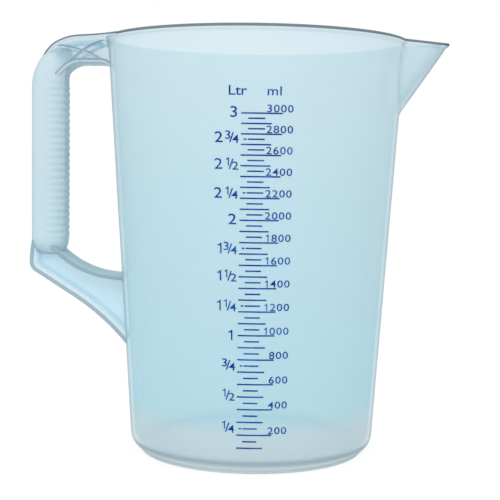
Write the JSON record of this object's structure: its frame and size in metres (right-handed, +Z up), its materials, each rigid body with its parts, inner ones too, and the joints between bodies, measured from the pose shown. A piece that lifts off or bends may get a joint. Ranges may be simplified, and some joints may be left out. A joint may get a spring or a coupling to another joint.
{
  "type": "measuring jug",
  "caption": "Tall tapered measuring jug in translucent plastic, with a pinched pouring spout, a braced open handle with a ribbed grip, and a printed volume scale.",
  "frame": {"origin": "on the table, where the axis of the round vessel meets the plane of the foot ring", "axes": "+Z up along the vessel's axis, +X towards the spout, -X towards the handle, the printed scale faces -Y"},
  "size_m": [0.2364, 0.1698, 0.233],
  "materials": {
    "clear_plastic": "translucent pale blue polypropylene, satin gloss",
    "handle_plastic": "translucent pale blue polypropylene, satin gloss",
    "scale_ink": "flat blue printing ink"
  },
  "bodies": {
    "root": {"vessel_wall": "clear_plastic", "vessel_floor": "clear_plastic", "foot_ring": "clear_plastic", "rim_lip": "clear_plastic", "pouring_spout": "clear_plastic", "spout_lip": "clear_plastic", "bridge_top_band": "handle_plastic", "bridge_inner_band": "handle_plastic", "bridge_web": "handle_plastic", "bridge_braces": "handle_plastic", "hand_grip": "handle_plastic", "grip_shoulder": "handle_plastic", "finger_ribs": "handle_plastic", "strut_inner_band": "handle_plastic", "strut_outer_band": "handle_plastic", "strut_web": "handle_plastic", "long_marks": "scale_ink", "medium_marks": "scale_ink", "short_marks": "scale_ink", "quarter_marks": "scale_ink"}
  },
  "joints": []
}
